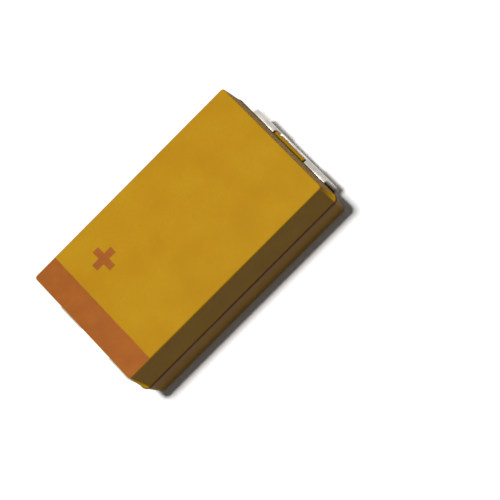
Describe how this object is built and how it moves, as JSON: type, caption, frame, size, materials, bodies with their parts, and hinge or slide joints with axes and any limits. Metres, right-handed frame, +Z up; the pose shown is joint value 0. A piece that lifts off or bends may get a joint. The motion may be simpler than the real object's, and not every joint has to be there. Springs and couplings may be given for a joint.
{
  "type": "tantalum capacitor",
  "caption": "Moulded tantalum chip capacitor for surface mounting: drafted ochre epoxy case, polarity band and folded tin-plated terminals.",
  "frame": {"origin": "middle of the footprint, in the plane of the two feet's lower faces", "axes": "+X along the body from the anode (banded) end to the cathode end, +Z up from the board"},
  "size_m": [0.006, 0.0032, 0.0026],
  "materials": {
    "moulded_epoxy": "satin",
    "band_ink": "satin",
    "tinned_strip": "satin",
    "sintered_tantalum": "matte",
    "tantalum_metal": "satin",
    "white_fluoropolymer": "matte",
    "manganese_dioxide": "matte",
    "graphite": "matte",
    "silver_paint": "matte",
    "silver_epoxy": "matte"
  },
  "bodies": {
    "root": {"case": "moulded_epoxy", "polarity_band": "band_ink", "anode_terminal": "tinned_strip", "cathode_terminal": "tinned_strip", "tantalum_pellet": "sintered_tantalum", "tantalum_wire": "tantalum_metal", "insulating_washer": "white_fluoropolymer", "manganese_dioxide_coat": "manganese_dioxide", "graphite_coat": "graphite", "silver_coat": "silver_paint", "silver_adhesive": "silver_epoxy"}
  },
  "joints": []
}
